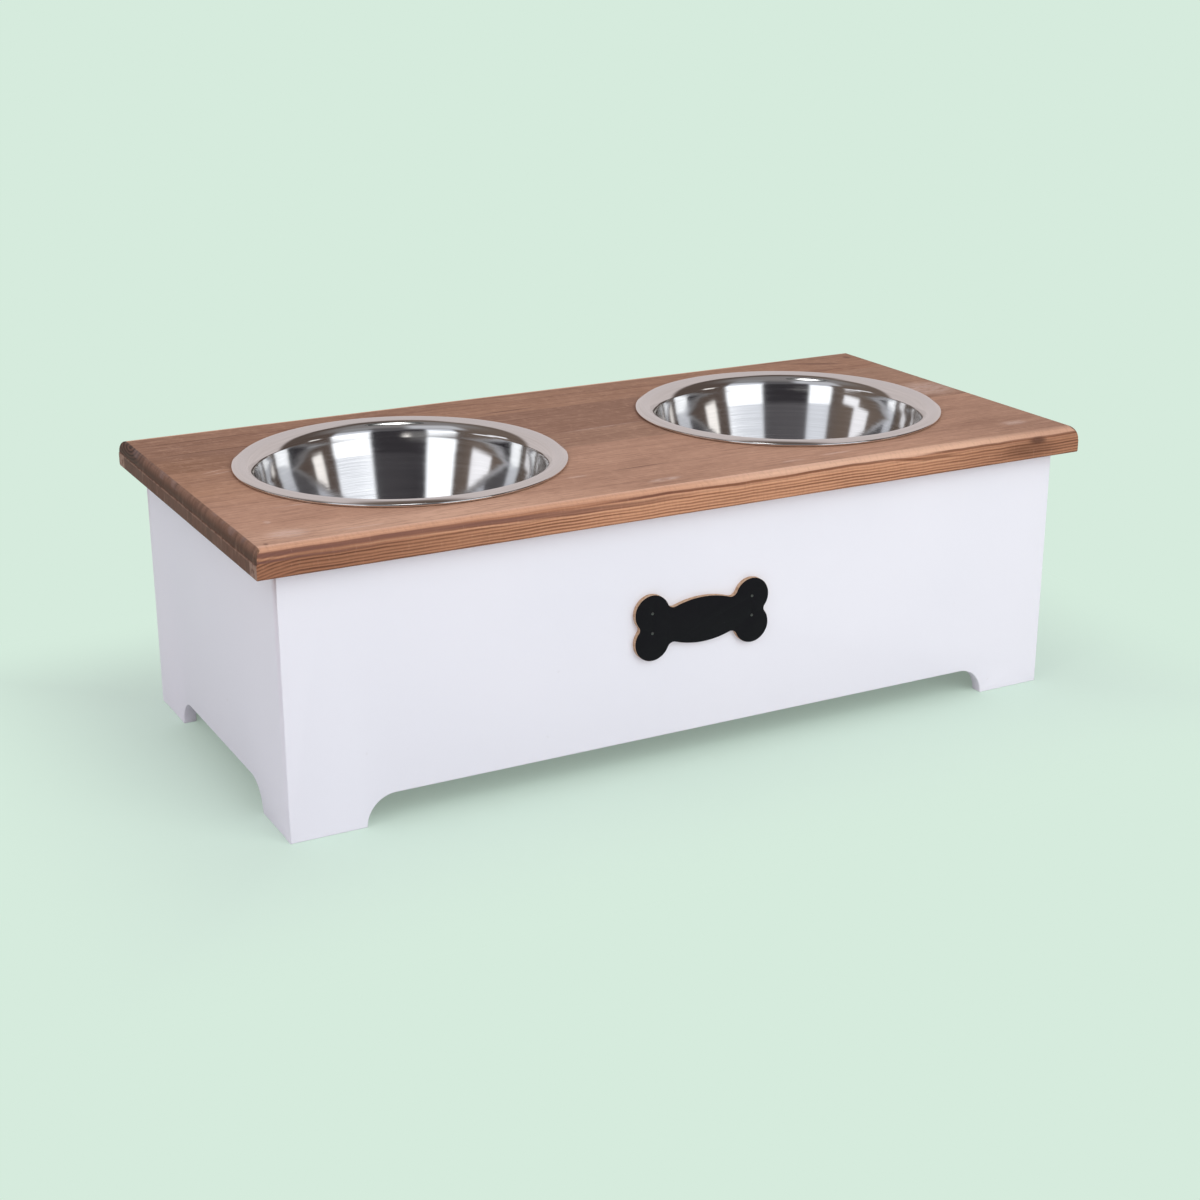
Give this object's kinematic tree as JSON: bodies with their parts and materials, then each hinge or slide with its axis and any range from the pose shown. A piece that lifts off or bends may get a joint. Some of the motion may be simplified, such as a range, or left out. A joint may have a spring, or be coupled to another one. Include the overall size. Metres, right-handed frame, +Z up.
{
  "type": "raised pet feeding station",
  "caption": "Raised pet feeding station: stained softwood top with lift-out steel bowls, on a white painted box with arched feet and a small bone-shaped plaque.",
  "frame": {"origin": "on the floor, under the middle of the top", "axes": "+X along the length to the right, +Y from the plaque side to the back, +Z up"},
  "size_m": [0.6, 0.286, 0.1943],
  "materials": {
    "stained_wood": "brown stain, satin",
    "white_paint": "white satin paint on board",
    "sawn_wood": "bare planed softwood",
    "steel": "spun, polished inside",
    "black_board": "matt black, bare edge",
    "zinc": "zinc plated"
  },
  "bodies": {
    "station": {"top_board": "stained_wood", "front_panel": "white_paint", "back_panel": "white_paint", "left_panel": "white_paint", "right_panel": "white_paint", "corner_post_front_left": "sawn_wood", "corner_post_front_right": "sawn_wood", "corner_post_back_left": "sawn_wood", "corner_post_back_right": "sawn_wood", "front_cleat": "sawn_wood", "back_cleat": "sawn_wood", "left_cleat": "sawn_wood", "right_cleat": "sawn_wood", "bone_plaque": "black_board", "plaque_pins": "zinc", "post_screws": "zinc", "cleat_screws": "zinc", "top_screws": "zinc"},
    "left_bowl": {"left_bowl": "steel"},
    "right_bowl": {"right_bowl": "steel"}
  },
  "joints": [
    {"name": "left_bowl_lift", "type": "slide", "parent": "station", "child": "left_bowl", "axis": [0, 0, 1], "range_m": [0, 0.1]},
    {"name": "right_bowl_lift", "type": "slide", "parent": "station", "child": "right_bowl", "axis": [0, 0, 1], "range_m": [0, 0.1]}
  ]
}
